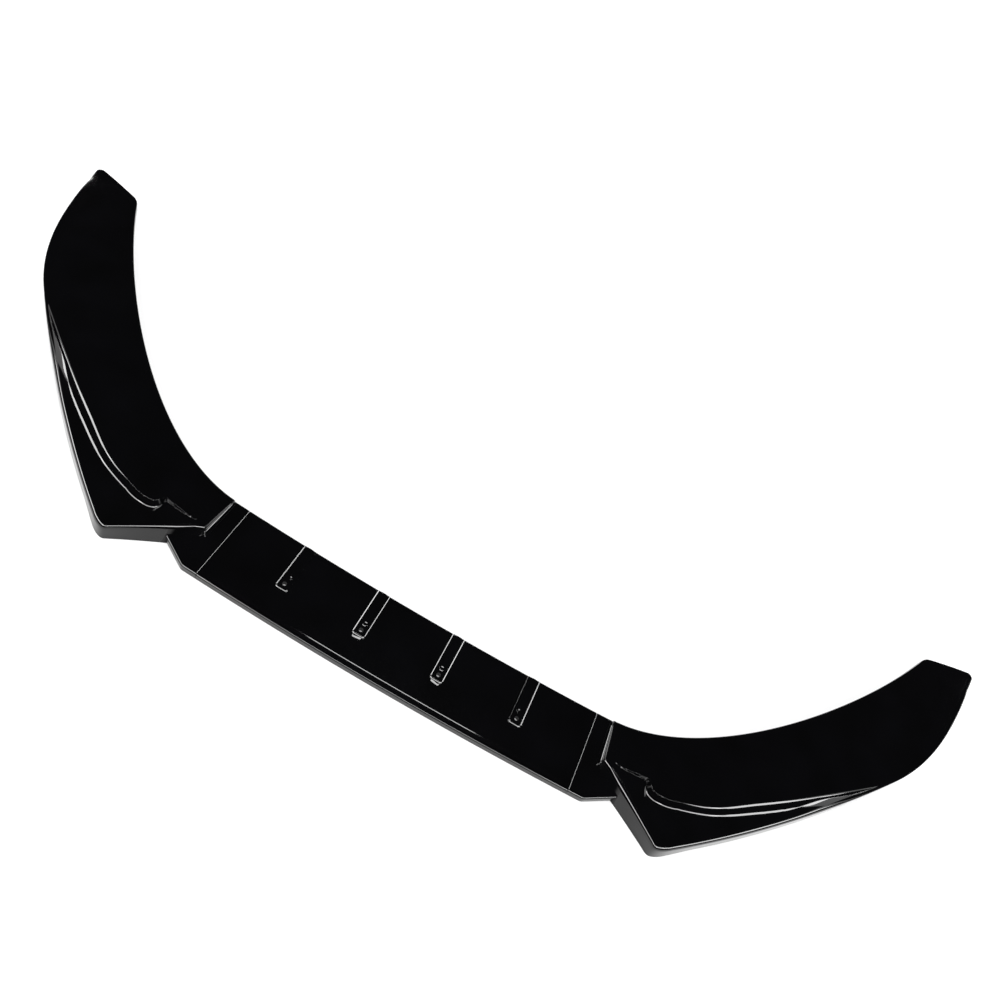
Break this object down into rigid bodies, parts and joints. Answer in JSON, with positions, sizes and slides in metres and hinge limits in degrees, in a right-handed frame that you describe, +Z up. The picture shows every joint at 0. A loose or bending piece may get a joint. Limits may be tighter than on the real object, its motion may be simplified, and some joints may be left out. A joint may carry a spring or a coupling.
{
  "type": "front splitter lip",
  "caption": "Low front lip for a car bumper: a flat centre blade with screw pads between swept side pieces that rise to blunt rear tips.",
  "frame": {"origin": "centre of the bounding box in X and Y, at the lowest edges in Z", "axes": "+X across the car, -Y to the front of the car, +Z up"},
  "size_m": [1.744, 0.556, 0.0737],
  "materials": {
    "gloss_black": "high gloss",
    "screw_steel": "zinc plated"
  },
  "bodies": {
    "root": {"centre_blade": "gloss_black", "left_wing": "gloss_black", "right_wing": "gloss_black", "joint_screws": "screw_steel"}
  },
  "joints": []
}
